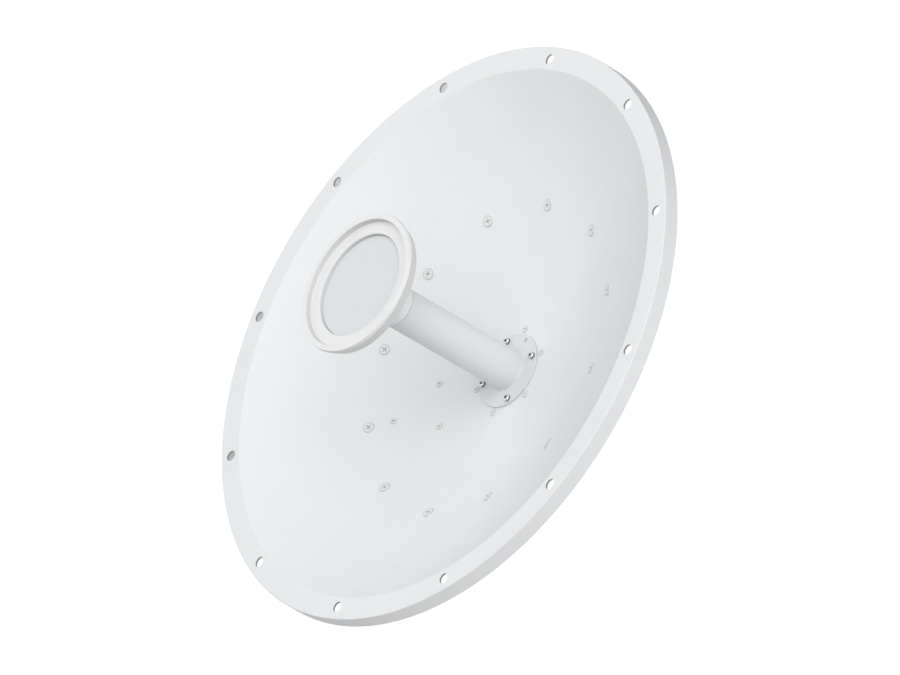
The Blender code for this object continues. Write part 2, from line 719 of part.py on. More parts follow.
def build():
    """Makes the cutters that several pieces share, and then every piece."""
    model = Model()
    ring_holes = screw_holes(model, "ring_hole_cutter", around(RING_R, RING_SCREWS), RING_SHANK_R)
    hub_points = around(HUB_SCREW_CIRCLE_R, HUB_SCREWS)
    hub_holes = screw_holes(model, "hub_hole_cutter", hub_points, SMALL_SHANK_R)
    bolt_points = around(FLANGE_BOLT_CIRCLE_R, FLANGE_BOLTS)
    bolt_holes = screw_holes(model, "bolt_hole_cutter", bolt_points, SMALL_SHANK_R)
    pad_places = screw_places(PAD_SCREWS.values())
    small_hole_r = SMALL_SHANK_R + GAP
    pad_holes = model.tool(rods("pad_hole_cutter", pad_places, small_hole_r, PAD_CUT_LENGTH, 12))
    rail_places = [(Vector((RAIL_SCREW_X, y, PAD_BACK)), FRONT) for y in (-RAIL_SCREW_Y, RAIL_SCREW_Y)]
    rail_holes = model.tool(rods("rail_hole_cutter", rail_places, small_hole_r, RAIL_CUT_LENGTH, 12))

    reflector(model, (ring_holes, hub_holes, bolt_holes, pad_holes))
    backing_ring(model, ring_holes)
    mount_bracket(model)
    bracket_foot(model, "bracket_foot_upper", 1, ring_holes)
    bracket_foot(model, "bracket_foot_lower", -1, ring_holes)
    feed_tube(model)
    feed_flange(model, bolt_holes)
    feed_nose(model)
    feed_head(model)
    head_cover(model)
    feed_hub(model, (hub_holes, bolt_holes))
    for side in SOCKET_ANGLES:
        cable_socket(model, side)
    radio_pad(model, (pad_holes, rail_holes))
    radio_rail(model, rail_holes)
    ring_screws(model)
    small_screws(model)


build()
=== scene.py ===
"""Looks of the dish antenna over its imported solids: fine surfaces, finishes, light and camera.

Metres, +Z up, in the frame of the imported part: the origin is the middle of the bracket's flat
rear face and the dish looks along -Y. Fine pieces are modelled in the aperture frame, where
x is to the right, y is up and z is ahead of the rim plane, and then turned into place.
"""

import json
import math

import bmesh
import bpy
from mathutils import Matrix, Vector

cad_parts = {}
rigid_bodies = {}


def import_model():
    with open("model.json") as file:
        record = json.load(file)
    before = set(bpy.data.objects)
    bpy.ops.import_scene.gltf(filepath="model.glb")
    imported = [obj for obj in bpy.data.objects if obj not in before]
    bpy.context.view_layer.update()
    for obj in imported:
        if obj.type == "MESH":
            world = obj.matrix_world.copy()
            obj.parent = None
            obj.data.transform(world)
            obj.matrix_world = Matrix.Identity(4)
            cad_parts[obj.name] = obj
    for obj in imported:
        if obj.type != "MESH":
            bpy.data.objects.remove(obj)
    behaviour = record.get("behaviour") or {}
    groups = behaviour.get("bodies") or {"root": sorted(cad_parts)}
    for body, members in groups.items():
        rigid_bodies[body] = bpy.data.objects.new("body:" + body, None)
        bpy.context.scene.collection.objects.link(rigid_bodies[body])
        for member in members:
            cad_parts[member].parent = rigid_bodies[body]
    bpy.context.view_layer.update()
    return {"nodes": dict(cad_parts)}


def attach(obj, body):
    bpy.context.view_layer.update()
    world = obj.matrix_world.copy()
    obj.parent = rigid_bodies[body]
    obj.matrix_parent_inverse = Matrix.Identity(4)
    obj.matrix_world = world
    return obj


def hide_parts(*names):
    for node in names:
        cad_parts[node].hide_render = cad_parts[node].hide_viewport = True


# The same dimensions as the solids
MOUNT_BEHIND_RIM = 0.150
RIM_OUTER_R = 0.324
BOWL_R = 0.299
FOCAL_LENGTH = 0.225
FLAT_R = 0.053
SHEET = 0.002
SKIRT_DEPTH = 0.018
RIM_BEND = 0.0010
RIM_HOLE_R = 0.00575
RIM_HOLE_CIRCLE_R = 0.310
RIM_HOLES = 12
GAP = 0.0003
RING_R = 0.1742
RING_HALF_WIDTH = 0.014
RING_SHEET = 0.003
RING_LIP = 0.010
CHANNEL_SHEET = 0.003
FOOT_HALF_SPAN = 0.098
TUBE_R = 0.02225
TUBE_BORE_R = 0.0205
TUBE_FRONT = 0.0669
TUBE_IN_HUB = 0.028
FLANGE_R = 0.0416
FLANGE_SHEET = 0.0025
FLANGE_BOLT_CIRCLE_R = 0.0358
FLANGE_BOLTS = 4
SIGHT_HOLE_R = 0.0025
SIGHT_HOLE_ANGLE = math.radians(43)
HEAD_R = 0.0784
HEAD_FRONT_R = 0.0780
HEAD_BACK_R = 0.0740
HEAD_BACK = 0.1132
HEAD_LIP_BACK = 0.1247
HEAD_FRONT = 0.1285
BEAD_INNER_R = 0.0720
BEAD_FOOT_R = 0.0713
STEP_R = 0.0578
STEP_FLOOR = 0.1224
COVER_FRONT = 0.1187
COVER_SHEET = 0.0012
NOSE_STRAIGHT_END = 0.0840
NOSE_FLARE_R = 0.0580
NOSE_SPIGOT = 0.020
HUB_FLANGE_R = 0.0525
HUB_FLANGE_SHEET = 0.004
HUB_BODY_R = 0.030
HUB_DEPTH = 0.034
HUB_SCREW_CIRCLE_R = 0.0475
SOCKET_BOSS_R = 0.009
SOCKET_SEAT_R = 0.035
SOCKET_FROM_HUB_BACK = 0.0125
SOCKET_ANGLES = {"left": math.radians(225), "right": math.radians(315)}
PAD_SCREWS = {"top": (-0.094, 0.027), "bottom": (-0.094, -0.027), "outer": (-0.1476, 0.0)}
PAD_BACK = -0.104
RAIL_SHEET = 0.002
RAIL_SCREW_X = -0.108
RAIL_SCREW_Y = 0.012
RING_HEAD_R = 0.0062
SMALL_HEAD_R = 0.0038
PAINTED_HEAD_H = 0.0012
BOLT_HEAD_R = 0.0037
BOLT_HEAD_H = 0.0033
NUT_CORNER_R = 0.0058
NUT_H = 0.0050
THREAD_R = 0.0030
THREAD_PITCH = 0.0010

# Ends of the thread that shows: this far inside the nut, and this far behind the nut's seat
THREAD_START = 0.0001
THREAD_END = 0.0070

# Heads: the bulge of their tops, and the width and half depth of their crosses
LOW_CROWN = 0.0001
BOLT_CROWN = 0.0004
RING_CROSS = (0.0011, 0.0006)
SMALL_CROSS = (0.0008, 0.0006)
BOLT_CROSS = (0.0015, 0.0018)

# Turn of each screw's cross from the radius through it, in degrees, as they were left
RING_SCREW_SPINS = (55, 50, 10, 85, 30, 65, 30, 0, 0, 40, 50, 80)
HUB_SCREW_SPINS = (5, 5, 70, 20, 5, 85)
PAD_SCREW_SPINS = {"top": 10, "bottom": 80, "outer": 70}
FLANGE_BOLT_SPIN = 40
RAIL_SCREW_SPIN = 35

# Cross recess: its reach as a share of the head's radius, and its narrowing towards its foot
CROSS_REACH = 0.62
CROSS_FOOT_SCALE = 0.85

# Where painted shade lies on a head: beyond this share of its radius, between these heights, and
# in the cross below its top. Heights are metres on the painted heads and shares of the height on
# bolts, and the margin widens the cross's mask, as a share of the head's radius.
HEAD_EDGE_SHARE = 0.86
PAINTED_EDGE = (0.0008, 0.01)
CROSS_SHOWS = 0.0003
CROSS_MARGIN = 0.1
BOLT_FOOT = (0.0, 0.45)
BOLT_CROSS_BELOW = 0.82

# Steps round the axis of turned pieces, and round holes and rods
DISH_STEPS = 192
HEAD_STEPS = 160
DISC_STEPS = 128
TUBE_STEPS = 96
SCREW_STEPS = 48
THREAD_STEPS = 24
RIM_HOLE_STEPS = 40
SIGHT_HOLE_STEPS = 32
FLOOR_STEPS = 96
BOWL_RINGS = 36

# A cutter reaches past both faces of its sheet, and is turned a little where its corners would
# otherwise fall on those of the piece
RIM_CUTTER_LENGTH = 0.01
SIGHT_CUTTER_LENGTH = 0.02
HOLE_SPIN = 0.03
BOSS_SPIN = 0.02

ON_AXIS = 1e-9
SMOOTH_ANGLE = math.radians(28)
SHARP_DEGREES = 35
FLAT_DEGREES = 0.6
MERGE_DISTANCE = 1e-6
FRONT = Vector((0, 0, 1))
IN_PLACE = Matrix.Translation((0, -MOUNT_BEHIND_RIM, 0)) @ Matrix.Rotation(math.pi / 2, 4, "X")


def bowl_z(r):
    """Height of the reflector's front face at radius r, from the rim plane."""
    r = max(r, FLAT_R)
    return (r * r - BOWL_R * BOWL_R) / (4 * FOCAL_LENGTH)


FLAT_Z = bowl_z(FLAT_R)
HUB_FRONT = FLAT_Z - SHEET - GAP


def behind_bowl(r, distance):
    """The (radius, z) that lies straight behind the bowl's point at r, along its normal."""
    slope = 0 if r < FLAT_R else r / (2 * FOCAL_LENGTH)
    length = math.hypot(1, slope)
    return r + distance * slope / length, bowl_z(r) - distance / length


def bowl_curve(distance, low, high, count):
    """Evenly spaced points, outwards, of the surface that lies behind the bowl."""
    return [behind_bowl(low + (high - low) * i / count, distance) for i in range(count + 1)]


def on_bowl(x, y):
    """The point of the bowl's front face at (x, y), and the unit normal there."""
    r = math.hypot(x, y)
    point = Vector((x, y, bowl_z(r)))
    if r <= FLAT_R:
        return point, FRONT.copy()
    return point, Vector((-x, -y, 2 * FOCAL_LENGTH)).normalized()


def around(radius, count):
    """Points spaced evenly on a circle round the axis."""
    angles = [2 * math.pi * i / count for i in range(count)]
    return [(radius * math.cos(a), radius * math.sin(a)) for a in angles]


def arc(centre, radius, start, end, count):
    """Points of an arc in the (radius, z) plane, its angles in degrees."""
    angles = [math.radians(start + (end - start) * i / count) for i in range(count + 1)]
    return [(centre[0] + radius * math.cos(a), centre[1] + radius * math.sin(a)) for a in angles]


def turned(profile, steps, closed=False):
    """Mesh of a profile of (radius, z) points turned round z, its outer side running down."""
    shape = bmesh.new()
    rings = []
    for r, z in profile:
        if r < ON_AXIS:
            rings.append([shape.verts.new((0, 0, z))])
            continue
        angles = [2 * math.pi * k / steps for k in range(steps)]
        rings.append([shape.verts.new((r * math.cos(a), r * math.sin(a), z)) for a in angles])
    pairs = list(zip(rings, rings[1:]))
    if closed:
        pairs.append((rings[-1], rings[0]))
    for upper, lower in pairs:
        for k in range(steps):
            corners = []
            for vert in (
                upper[k % len(upper)],
                lower[k % len(lower)],
                lower[(k + 1) % len(lower)],
                upper[(k + 1) % len(upper)],
            ):
                if vert not in corners:
                    corners.append(vert)
            if len(corners) > 2:
                shape.faces.new(corners)
    return to_mesh(shape)


def to_mesh(shape):
    """The finished mesh of a bmesh, which is freed."""
    mesh = bpy.data.meshes.new("shape")
    shape.to_mesh(mesh)
    shape.free()
    return mesh


def prisms(places, radius, length, segments, spin=0.0):
    """Mesh of straight rods, one at each (middle, direction)."""
    shape = bmesh.new()
    for middle, direction in places:
        turn = direction.to_track_quat("Z", "Y").to_matrix().to_4x4()
        bmesh.ops.create_cone(
            shape,
            cap_ends=True,
            segments=segments,
            radius1=radius,
            radius2=radius,
            depth=length,
            matrix=Matrix.Translation(middle) @ turn @ Matrix.Rotation(spin, 4, "Z"),
        )
    return to_mesh(shape)


def joined(*meshes):
    """One mesh with the faces of all of them."""
    shape = bmesh.new()
    for mesh in meshes:
        shape.from_mesh(mesh)
    return to_mesh(shape)


def combined(mesh, operation, tool):
    """The mesh after an exact Boolean with the tool's mesh."""
    target = bpy.data.objects.new("target", mesh)
    cutter = bpy.data.objects.new("cutter", tool)
    for obj in (target, cutter):
        bpy.context.scene.collection.objects.link(obj)
    boolean = target.modifiers.new("cut", "BOOLEAN")
    boolean.operation = operation
    boolean.solver = "EXACT"
    boolean.object = cutter
    bpy.context.view_layer.update()
    evaluated = target.evaluated_get(bpy.context.evaluated_depsgraph_get())
    result = bpy.data.meshes.new_from_object(evaluated)
    for obj in (target, cutter):
        bpy.data.objects.remove(obj)
    return result


def bevelled(mesh, width):
    """The mesh with its sharp edges rounded."""
    shape = bmesh.new()
    shape.from_mesh(mesh)
    bmesh.ops.remove_doubles(shape, verts=shape.verts, dist=MERGE_DISTANCE)
    bmesh.ops.dissolve_limit(
        shape, angle_limit=math.radians(FLAT_DEGREES), verts=shape.verts, edges=shape.edges
    )
    limit = math.radians(SHARP_DEGREES)
    sharp = [e for e in shape.edges if e.is_manifold and e.calc_face_angle() > limit]
    bmesh.ops.bevel(
        shape,
        geom=sharp,
        offset=width,
        segments=2,
        profile=0.5,
        affect="EDGES",
        clamp_overlap=True,
    )
    return to_mesh(shape)


def smoothed(mesh):
    """Shades the mesh smooth, but for its sharp edges."""
    mesh.polygons.foreach_set("use_smooth", [True] * len(mesh.polygons))
    mesh.set_sharp_from_angle(angle=SMOOTH_ANGLE)
    return mesh


# Finishes

# Colours of paints, plastics and metals
DISH_WHITE = (0.835, 0.845, 0.855)
FEED_WHITE = (0.745, 0.755, 0.765)
HEAD_WHITE = (0.850, 0.855, 0.860)
COVER_GREY = (0.755, 0.770, 0.785)
SCREW_WHITE = (0.800, 0.810, 0.820)
PAD_GREY = (0.42, 0.43, 0.44)
BRIGHT_STEEL = (0.92, 0.92, 0.93)
NICKEL = (0.70, 0.67, 0.62)
ZINC_DARK = (0.50, 0.52, 0.54)
ZINC_PALE = (0.63, 0.65, 0.67)
ZINC_WORN = (0.66, 0.67, 0.67)
CAST_DARK = (0.56, 0.57, 0.58)
CAST_PALE = (0.66, 0.67, 0.68)
FLOOR_PALE = (0.80, 0.80, 0.80)
FLOOR_DULL = (0.77, 0.77, 0.77)

# Tones of painted shade in the rim's hole walls, round screw heads, in their crosses and at the
# bolts' feet; the shares of a finish's colour that its dusty, mottled and handled places have;
# and the shares of its colour left on walls where painted shade darkens them beside the faces
HOLE_WALL_SHADE = (0.30, 0.30, 0.31)
SCREW_EDGE_SHADE = (0.55, 0.56, 0.56)
SCREW_CROSS_SHADE = (0.40, 0.40, 0.40)
BOLT_CROSS_SHADE = (0.05, 0.05, 0.05)
BOLT_FOOT_SHADE = (0.16, 0.16, 0.16)
DUST_TONE = 0.975
MOTTLE_TONE = 0.98
HANDLED_TONE = 0.86
STEP_WALL_SHADE = 0.76
SIDE_WALL_SHADE = 0.84
FLANGE_EDGE_SHADE = 0.86

# Margins of the masks that pick those walls out: each way from the circle of the rim's holes,
# inwards from the flange's edge, inside the head's back edge and behind the cover's front
HOLE_BAND = RIM_HOLE_R * 1.1
FLANGE_EDGE_BAND = 0.0008
RECESS_INSIDE = 0.001
SIDE_INSIDE = 0.0005
BEHIND_COVER = 0.002

# Depths of the finest textures, in metres
ORANGE_PEEL = 0.00002
SPARK_GRAIN = 0.00001
PAD_GRAIN = 0.00002
ZINC_RELIEF = 0.00003
SAND_GRAIN = 0.00006
HANDLING_MARKS = 0.000004


def wire(tree, kind, inputs=None, **settings):
    """A new node of that kind, with its settings, and its inputs set or linked by name."""
    node = tree.nodes.new(kind)
    for key, value in settings.items():
        setattr(node, key, value)
    for key, value in (inputs or {}).items():
        if isinstance(value, bpy.types.NodeSocket):
            tree.links.new(value, node.inputs[key])
        else:
            node.inputs[key].default_value = value
    return node


def ranged(tree, source, low, high, start=0.3, end=0.7):
    """Source's stretch from start to end, spread over low to high."""
    inputs = {"Value": source, "From Min": start, "From Max": end, "To Min": low, "To Max": high}
    return wire(tree, "ShaderNodeMapRange", inputs, clamp=True).outputs["Result"]


def blended(tree, factor, first, second):
    """A colour between the two, by factor."""
    mix = tree.nodes.new("ShaderNodeMix")
    mix.data_type = "RGBA"
    tree.links.new(factor, mix.inputs["Factor"])
    for name, colour in (("A", first), ("B", second)):
        socket = next(i for i in mix.inputs if i.name == name and i.type == "RGBA")
        if isinstance(colour, bpy.types.NodeSocket):
            tree.links.new(colour, socket)
        else:
            socket.default_value = (*colour, 1.0)
    return next(o for o in mix.outputs if o.type == "RGBA")


def blank(name, metallic, specular=0.5):
    """A new material: its tree, its shader and the object's own coordinates."""
    made = bpy.data.materials.new(name)
    made.use_nodes = True
    tree = made.node_tree
    shader = tree.nodes["Principled BSDF"]
    shader.inputs["Metallic"].default_value = metallic
    shader.inputs["Specular IOR Level"].default_value = specular
    place = tree.nodes.new("ShaderNodeTexCoord").outputs["Object"]
    return made, tree, shader, place


def noise(tree, place, scale, detail=2.0, rough=0.5):
    """Grey noise with features of about 1/scale metres."""
    inputs = {"Vector": place, "Scale": scale, "Detail": detail, "Roughness": rough}
    return wire(tree, "ShaderNodeTexNoise", inputs).outputs["Fac"]


def bumped(tree, shader, height, distance):
    """Raises the surface by the height's pattern."""
    bump = wire(tree, "ShaderNodeBump", {"Height": height, "Distance": distance})
    tree.links.new(bump.outputs["Normal"], shader.inputs["Normal"])


def darker(colour, share):
    """That share of a colour."""
    return tuple(c * share for c in colour)


def powder_coat(name, colour, roughness, grain=700.0):
    """Baked powder paint: faint orange peel, a little dust and an uneven sheen."""
    made, tree, shader, place = blank(name, metallic=0.0, specular=0.35)
    dust = ranged(tree, noise(tree, place, scale=9.0, detail=5.0, rough=0.6), 0, 1)
    dusty = blended(tree, dust, colour, darker(colour, DUST_TONE))
    tree.links.new(dusty, shader.inputs["Base Color"])
    uneven, spread = noise(tree, place, scale=60.0, detail=3.0), 0.05
    sheen = ranged(tree, uneven, roughness - spread, roughness + spread)
    tree.links.new(sheen, shader.inputs["Roughness"])
    bumped(tree, shader, noise(tree, place, grain, detail=3.0, rough=0.55), ORANGE_PEEL)
    return made


def calc(tree, operation, *values):
    """The result of a maths operation on values or other nodes' results."""
    inputs = dict(enumerate(values))
    return wire(tree, "ShaderNodeMath", inputs, operation=operation).outputs["Value"]


def all_of(tree, mask, *others):
    """1 where every mask is 1, else 0."""
    for other in others:
        mask = calc(tree, "MULTIPLY", mask, other)
    return mask


def hypot(tree, across, along):
    """Distance from the origin of a place in a plane."""
    squares = [calc(tree, "MULTIPLY", side, side) for side in (across, along)]
    return calc(tree, "SQRT", calc(tree, "ADD", *squares))


def split(tree, vector):
    """The x, y and z of a vector."""
    outputs = wire(tree, "ShaderNodeSeparateXYZ", {"Vector": vector}).outputs
    return outputs["X"], outputs["Y"], outputs["Z"]


def toned(made, mask, colour):
    """Puts colour over the material's own where mask is 1."""
    tree = made.node_tree
    base = tree.nodes["Principled BSDF"].inputs["Base Color"]
    tree.links.new(blended(tree, mask, base.links[0].from_socket, colour), base)


def upright_faces(tree):
    """1 on walls that run along the dish's axis, 0 on faces across it."""
    normal = tree.nodes.new("ShaderNodeNewGeometry").outputs["True Normal"]
    along_axis, largest = split(tree, normal)[1], 0.5
    return calc(tree, "COMPARE", along_axis, 0.0, largest)


def from_axis(tree):
    """Distance of the shaded place from the dish's axis."""
    x, _, z = split(tree, tree.nodes["Texture Coordinate"].outputs["Object"])
    return hypot(tree, x, z)


def ahead_of_rim(tree):
    """Distance of the shaded place ahead of the rim plane."""
    y = split(tree, tree.nodes["Texture Coordinate"].outputs["Object"])[1]
    return calc(tree, "SUBTRACT", -MOUNT_BEHIND_RIM, y)


def drilled_coat(name, colour, roughness):
    """The dish's powder coat, with painted shade darkening the walls of the rim's drilled holes.
    """
    made = powder_coat(name, colour, roughness)
    tree = made.node_tree
    in_band = calc(tree, "COMPARE", from_axis(tree), RIM_HOLE_CIRCLE_R, HOLE_BAND)
    # Painted shade: the upright walls of the rim's holes are darkened in colour
    toned(made, all_of(tree, in_band, upright_faces(tree)), HOLE_WALL_SHADE)
    return made


def feed_coat(name, colour, roughness):
    """The feed's powder coat, with painted shade on the flange's upright edge."""
    made = powder_coat(name, colour, roughness, grain=900.0)
    tree = made.node_tree
    outer = calc(tree, "GREATER_THAN", from_axis(tree), FLANGE_R - FLANGE_EDGE_BAND)
    # Painted shade: the upright edge of the flange is darkened in colour
    toned(made, all_of(tree, outer, upright_faces(tree)), darker(colour, FLANGE_EDGE_SHADE))
    return made


def head_plastic(name, colour, roughness):
    """The feed head's plastic, with painted shade on its steps' upright walls and on its side."""
    made = moulded(name, colour, roughness)
    tree = made.node_tree
    out, ahead = from_axis(tree), ahead_of_rim(tree)
    upright = upright_faces(tree)
    within = calc(tree, "LESS_THAN", out, HEAD_BACK_R - RECESS_INSIDE)
    in_front = calc(tree, "GREATER_THAN", ahead, COVER_FRONT - BEHIND_COVER)
    # Painted shade: the upright walls of the head's steps are darkened in colour
    toned(made, all_of(tree, within, in_front, upright), darker(colour, STEP_WALL_SHADE))
    beyond = calc(tree, "GREATER_THAN", out, HEAD_BACK_R - SIDE_INSIDE)
    behind = calc(tree, "LESS_THAN", ahead, HEAD_LIP_BACK)
    # Painted shade: the head's side behind its lip is darkened in colour
    toned(made, all_of(tree, beyond, behind, upright), darker(colour, SIDE_WALL_SHADE))
    return made


def screw_with_painted_shade(made, measure, edge_heights, edge_tone, cross_below, cross_tone):
    """Painted shade round a screw head's edge and in its cross, at heights in the measure's
    terms.
    """
    tree = made.node_tree
    coordinates = tree.nodes["Texture Coordinate"].outputs
    # Generated runs from 0 to 1 across the head, so out is a share of the head's radius
    x, y, _ = split(tree, coordinates["Generated"])
    x, y = calc(tree, "SUBTRACT", x, 0.5), calc(tree, "SUBTRACT", y, 0.5)
    out = calc(tree, "MULTIPLY", hypot(tree, x, y), 2.0)
    height = split(tree, coordinates[measure])[2]
    in_front = calc(tree, "GREATER_THAN", height, 0.0)
    above = calc(tree, "GREATER_THAN", height, edge_heights[0])
    below = calc(tree, "LESS_THAN", height, edge_heights[1])
    outer = calc(tree, "GREATER_THAN", out, HEAD_EDGE_SHARE)
    # Painted shade: a dark ring on the head's edge stands for the shade round it
    toned(made, all_of(tree, in_front, above, below, outer), edge_tone)
    deep = calc(tree, "LESS_THAN", height, cross_below)
    inner = calc(tree, "LESS_THAN", out, CROSS_REACH + CROSS_MARGIN)
    # Painted shade: the cross recess is darkened in colour
    toned(made, all_of(tree, in_front, deep, inner), cross_tone)
    return made


def moulded(name, colour, roughness, grain=1400.0, depth=SPARK_GRAIN):
    """Moulded plastic with a fine spark-eroded texture."""
    made, tree, shader, place = blank(name, metallic=0.0, specular=0.4)
    mottle = ranged(tree, noise(tree, place, scale=25.0, detail=4.0, rough=0.6), 0, 1)
    mottled = blended(tree, mottle, colour, darker(colour, MOTTLE_TONE))
    tree.links.new(mottled, shader.inputs["Base Color"])
    uneven, spread = noise(tree, place, scale=130.0), 0.04
    sheen = ranged(tree, uneven, roughness - spread, roughness + spread)
    tree.links.new(sheen, shader.inputs["Roughness"])
    bumped(tree, shader, noise(tree, place, grain, detail=4.0, rough=0.6), depth)
    return made


def zinc(name):
    """Hot-dip zinc: pale spangles that differ in tone and sheen."""
    made, tree, shader, place = blank(name, metallic=0.85)
    inputs = {"Vector": place, "Scale": 110.0, "Randomness": 1.0}
    cells = wire(tree, "ShaderNodeTexVoronoi", inputs, feature="F1")
    grey = wire(tree, "ShaderNodeSeparateColor", {"Color": cells.outputs["Color"]}).outputs["Red"]
    clouds = noise(tree, place, scale=16.0, detail=5.0, rough=0.6)
    tone = blended(tree, grey, ZINC_DARK, ZINC_PALE)
    worn = blended(tree, ranged(tree, clouds, 0, 0.6), tone, ZINC_WORN)
    tree.links.new(worn, shader.inputs["Base Color"])
    sheen = ranged(tree, grey, low=0.36, high=0.52, start=0.0, end=1.0)
    tree.links.new(sheen, shader.inputs["Roughness"])
    bumped(tree, shader, noise(tree, place, scale=420.0, detail=4.0, rough=0.6), ZINC_RELIEF)
    return made


def casting(name):
    """Sand-grained cast aluminium."""
    made, tree, shader, place = blank(name, metallic=0.9)
    clouds = noise(tree, place, scale=40.0, detail=5.0, rough=0.6)
    tone = blended(tree, ranged(tree, clouds, 0, 1), CAST_DARK, CAST_PALE)
    tree.links.new(tone, shader.inputs["Base Color"])
    tree.links.new(ranged(tree, clouds, low=0.42, high=0.60), shader.inputs["Roughness"])
    bumped(tree, shader, noise(tree, place, scale=1500.0, detail=4.0, rough=0.65), SAND_GRAIN)
    return made


def polished(name, colour, roughness):
    """Polished or plated metal with faint handling marks."""
    made, tree, shader, place = blank(name, metallic=1.0)
    marks = noise(tree, place, scale=500.0, detail=5.0, rough=0.7)
    marked = blended(tree, ranged(tree, marks, 0, 1), colour, darker(colour, HANDLED_TONE))
    tree.links.new(marked, shader.inputs["Base Color"])
    smoother, rougher = 0.04, 0.08
    sheen = ranged(tree, marks, roughness - smoother, roughness + rougher)
    tree.links.new(sheen, shader.inputs["Roughness"])
    bumped(tree, shader, marks, HANDLING_MARKS)
    return made


FINISHES = {
    "dish_white": lambda: drilled_coat("dish_powder_coat", DISH_WHITE, roughness=0.46),
    "feed_white": lambda: feed_coat("feed_powder_coat", FEED_WHITE, roughness=0.42),
    "head_white": lambda: head_plastic("head_plastic", HEAD_WHITE, roughness=0.36),
    "cover_grey": lambda: moulded("cover_plastic", COVER_GREY, roughness=0.48, grain=1800.0),
    # Painted screws: painted shade round their heads' edges and in their crosses
    "screw_white": lambda: screw_with_painted_shade(
        powder_coat("screw_paint", SCREW_WHITE, roughness=0.40, grain=1500.0),
        "Object",
        PAINTED_EDGE,
        SCREW_EDGE_SHADE,
        GAP + PAINTED_HEAD_H - CROSS_SHOWS,
        SCREW_CROSS_SHADE,
    ),
    # Bolts: painted shade at their feet and in their crosses
    "bolt_steel": lambda: screw_with_painted_shade(
        polished("bolt_steel", BRIGHT_STEEL, roughness=0.07),
        "Generated",
        BOLT_FOOT,
        BOLT_FOOT_SHADE,
        BOLT_CROSS_BELOW,
        BOLT_CROSS_SHADE,
    ),
    "galvanised": lambda: zinc("hot_dip_zinc"),
    "cast_aluminium": lambda: casting("cast_aluminium"),
    "nickel": lambda: polished("nickel_plate", NICKEL, roughness=0.20),
    "grey_plastic": lambda: moulded("pad_plastic", PAD_GREY, 0.55, grain=900.0, depth=PAD_GRAIN),
}


def finish(slot):
    """The material of a slot, made when it is first asked for."""
    if callable(FINISHES[slot]):
        FINISHES[slot] = FINISHES[slot]()
    return FINISHES[slot]


def piece(name, mesh, slot, node, place=IN_PLACE):
    """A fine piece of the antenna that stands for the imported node.

    Its normals are weighted by area, so that flat faces stay evenly lit beside rounded edges.
    """
    obj = bpy.data.objects.new(name, mesh)
    bpy.context.scene.collection.objects.link(obj)
    mesh.name = name
    smoothed(mesh)
    if place is IN_PLACE:
        mesh.transform(IN_PLACE)
    else:
        obj.matrix_world = place
    mesh.materials.clear()
    mesh.materials.append(finish(slot))
    level = obj.modifiers.new("level_faces", "WEIGHTED_NORMAL")
    level.keep_sharp = True
    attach(obj, "root")
    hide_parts(node)


def reflector():
    """The sheet with its true paraboloid, crisp rim and round holes."""
    bore_r = TUBE_R + 0.0005
    inner_r = RIM_OUTER_R - SHEET
    middle_r = FLAT_R * 0.75
    crease, soft, fillet = 0.0006, 0.0004, 0.002
    profile = [(BOWL_R + crease, 0)]
    profile += arc((RIM_OUTER_R - RIM_BEND, -RIM_BEND), RIM_BEND, 90, 0, 5)
    profile += [(RIM_OUTER_R, -SKIRT_DEPTH + soft), (RIM_OUTER_R - soft, -SKIRT_DEPTH)]
    profile += [(inner_r + soft, -SKIRT_DEPTH), (inner_r, -SKIRT_DEPTH + soft)]
    profile += arc((inner_r - fillet, -SHEET - fillet), fillet, 0, 90, 5)
    profile += reversed(bowl_curve(SHEET, FLAT_R, BOWL_R - 2 * crease, BOWL_RINGS))
    profile += [(middle_r, FLAT_Z - SHEET), (bore_r, FLAT_Z - SHEET), (bore_r, FLAT_Z)]
    profile += [(middle_r, FLAT_Z)] + bowl_curve(0, FLAT_R, BOWL_R - crease, BOWL_RINGS)
    mesh = turned(profile, DISH_STEPS, closed=True)
    places = [(Vector((x, y, 0)), FRONT) for x, y in around(RIM_HOLE_CIRCLE_R, RIM_HOLES)]
    holes = prisms(places, RIM_HOLE_R, RIM_CUTTER_LENGTH, RIM_HOLE_STEPS, HOLE_SPIN)
    piece("reflector_sheet", combined(mesh, "DIFFERENCE", holes), "dish_white", "reflector")


def backing_ring():
    """Pressed ring, an L in section, with rounded edges."""
    low, high = RING_R - RING_HALF_WIDTH, RING_R + RING_HALF_WIDTH
    front, back = SHEET + GAP, SHEET + GAP + RING_SHEET
    outer = behind_bowl(high, front)
    lip_end = behind_bowl(high, back)[1] - RING_LIP
    lip_r = outer[0] - RING_SHEET
    root_r = lip_r - 0.004
    root_z = behind_bowl(root_r, back)[1]
    soft = 0.0006
    bend_back, bend_in = 0.0015, 0.0009
    profile = [
        (outer[0] - soft, outer[1]),
        (outer[0], outer[1] - 2 * soft),
        (outer[0], lip_end + soft),
        (outer[0] - soft, lip_end),
        (lip_r + soft, lip_end),
        (lip_r, lip_end + soft),
        (lip_r, root_z - bend_back),
        (lip_r - bend_in, root_z - 0.0001),
    ]
    profile += reversed(bowl_curve(back, low + soft, root_r, 5))
    profile += [behind_bowl(low, back - soft), behind_bowl(low, front + soft)]
    profile += bowl_curve(front, low + soft, high - 2 * soft, 5)
    mesh = turned(profile, DISH_STEPS, closed=True)
    piece("backing_ring_fine", mesh, "galvanised", "backing_ring")


def feed_tube():
    """Round waveguide with a broken edge at its front."""
    rear = HUB_FRONT - TUBE_IN_HUB
    soft = 0.0003
    profile = [
        (TUBE_R - soft, TUBE_FRONT),
        (TUBE_R, TUBE_FRONT - soft),
        (TUBE_R, rear),
        (TUBE_BORE_R, rear),
        (TUBE_BORE_R, TUBE_FRONT),
    ]
    mesh = turned(profile, TUBE_STEPS, closed=True)
    piece("feed_tube_fine", mesh, "feed_white", "feed_tube")


